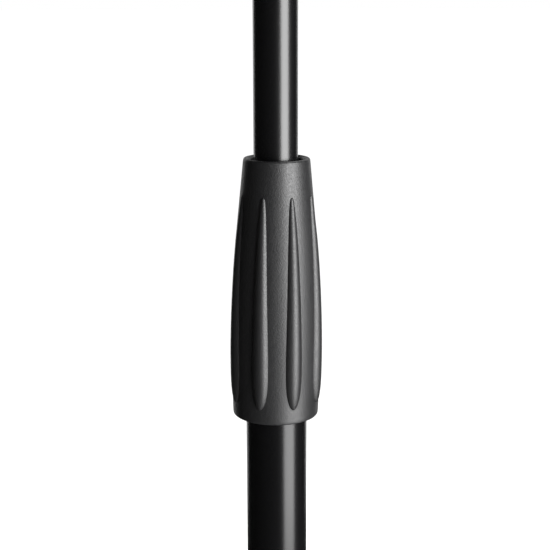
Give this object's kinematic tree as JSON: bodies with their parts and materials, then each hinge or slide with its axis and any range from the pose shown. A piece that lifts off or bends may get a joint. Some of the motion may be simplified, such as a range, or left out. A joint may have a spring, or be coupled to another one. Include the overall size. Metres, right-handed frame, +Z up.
{
  "type": "music stand",
  "caption": "Black music stand with folding legs, a ribbed twist clutch for height, a swivelling shaft and a tilting sheet-metal desk with a lip.",
  "frame": {"origin": "point on the floor, on the axis of the shaft, in the plane of the three foot soles", "axes": "+Z up the shaft; the desk faces -Y, where the player stands; +X to the player's right"},
  "size_m": [0.5402, 0.4704, 1.2139],
  "materials": {
    "tube_satin_black": "smooth semi-gloss black enamel",
    "powder_coat": "fine textured satin black powder coat",
    "cast_aluminium": "black coated casting",
    "grip_plastic": "finely pebbled matte black moulding",
    "black_plastic": "matte black moulding",
    "natural_nylon": "uncoloured nylon",
    "black_rubber": "dull black rubber",
    "plated_steel": "zinc plated",
    "machined_aluminium": "turned",
    "turned_brass": "turned"
  },
  "bodies": {
    "shaft": {"lower_tube": "tube_satin_black", "tube_end_plug": "black_plastic", "clutch_stem": "black_plastic", "clutch_collet": "natural_nylon", "thrust_washer": "plated_steel", "base_hub": "powder_coat", "leg_pins": "plated_steel", "leg_washers": "natural_nylon"},
    "grip": {"clutch_grip": "grip_plastic", "clutch_nut": "machined_aluminium", "clutch_wiper": "black_rubber"},
    "guide": {"guide_bush": "natural_nylon"},
    "upper_shaft": {"upper_tube": "tube_satin_black", "retaining_clip": "plated_steel", "tilt_head": "powder_coat", "head_screws": "plated_steel", "tilt_washers": "natural_nylon"},
    "desk": {"desk_bracket": "powder_coat", "desk_plate": "powder_coat", "desk_rivets": "plated_steel", "lip_trim": "black_rubber", "tilt_bolt": "plated_steel", "knob_washer": "plated_steel"},
    "tilt_clamp": {"tilt_knob": "grip_plastic", "knob_insert": "turned_brass"},
    "base_clamp": {"base_knob": "grip_plastic", "base_screw": "plated_steel"},
    "leg_1": {"leg_knuckle_1": "cast_aluminium", "leg_tube_1": "tube_satin_black", "leg_foot_1": "black_rubber"},
    "leg_2": {"leg_knuckle_2": "cast_aluminium", "leg_tube_2": "tube_satin_black", "leg_foot_2": "black_rubber"},
    "leg_3": {"leg_knuckle_3": "cast_aluminium", "leg_tube_3": "tube_satin_black", "leg_foot_3": "black_rubber"}
  },
  "joints": [
    {"name": "clutch_twist", "type": "hinge", "parent": "shaft", "child": "grip", "pos_m": [0, 0, 0.66], "axis": [0, 0, 1], "range_deg": [0, 120]},
    {"name": "height", "type": "slide", "parent": "shaft", "child": "guide", "axis": [0, 0, 1], "range_m": [-0.19, 0.27]},
    {"name": "swivel", "type": "hinge", "parent": "guide", "child": "upper_shaft", "pos_m": [0, 0, 0.317], "axis": [0, 0, 1], "continuous": true},
    {"name": "desk_tilt", "type": "hinge", "parent": "upper_shaft", "child": "desk", "pos_m": [0, 0, 0.985], "axis": [-1, 0, 0], "range_deg": [-20, 60]},
    {"name": "tilt_knob_turn", "type": "hinge", "parent": "desk", "child": "tilt_clamp", "pos_m": [0.0205, 0, 0.985], "axis": [1, 0, 0], "range_deg": [0, 360]},
    {"name": "base_knob_turn", "type": "hinge", "parent": "shaft", "child": "base_clamp", "pos_m": [0, 0.04, 0.084], "axis": [0, 1, 0], "range_deg": [0, 360]},
    {"name": "leg_1_fold", "type": "hinge", "parent": "shaft", "child": "leg_1", "pos_m": [0, -0.046, 0.087], "axis": [1, 0, 0], "range_deg": [0, 72]},
    {"name": "leg_2_fold", "type": "hinge", "parent": "shaft", "child": "leg_2", "pos_m": [0.03984, 0.023, 0.087], "axis": [-0.5, 0.866, 0], "range_deg": [0, 72]},
    {"name": "leg_3_fold", "type": "hinge", "parent": "shaft", "child": "leg_3", "pos_m": [-0.03984, 0.023, 0.087], "axis": [-0.5, -0.866, 0], "range_deg": [0, 72]}
  ]
}
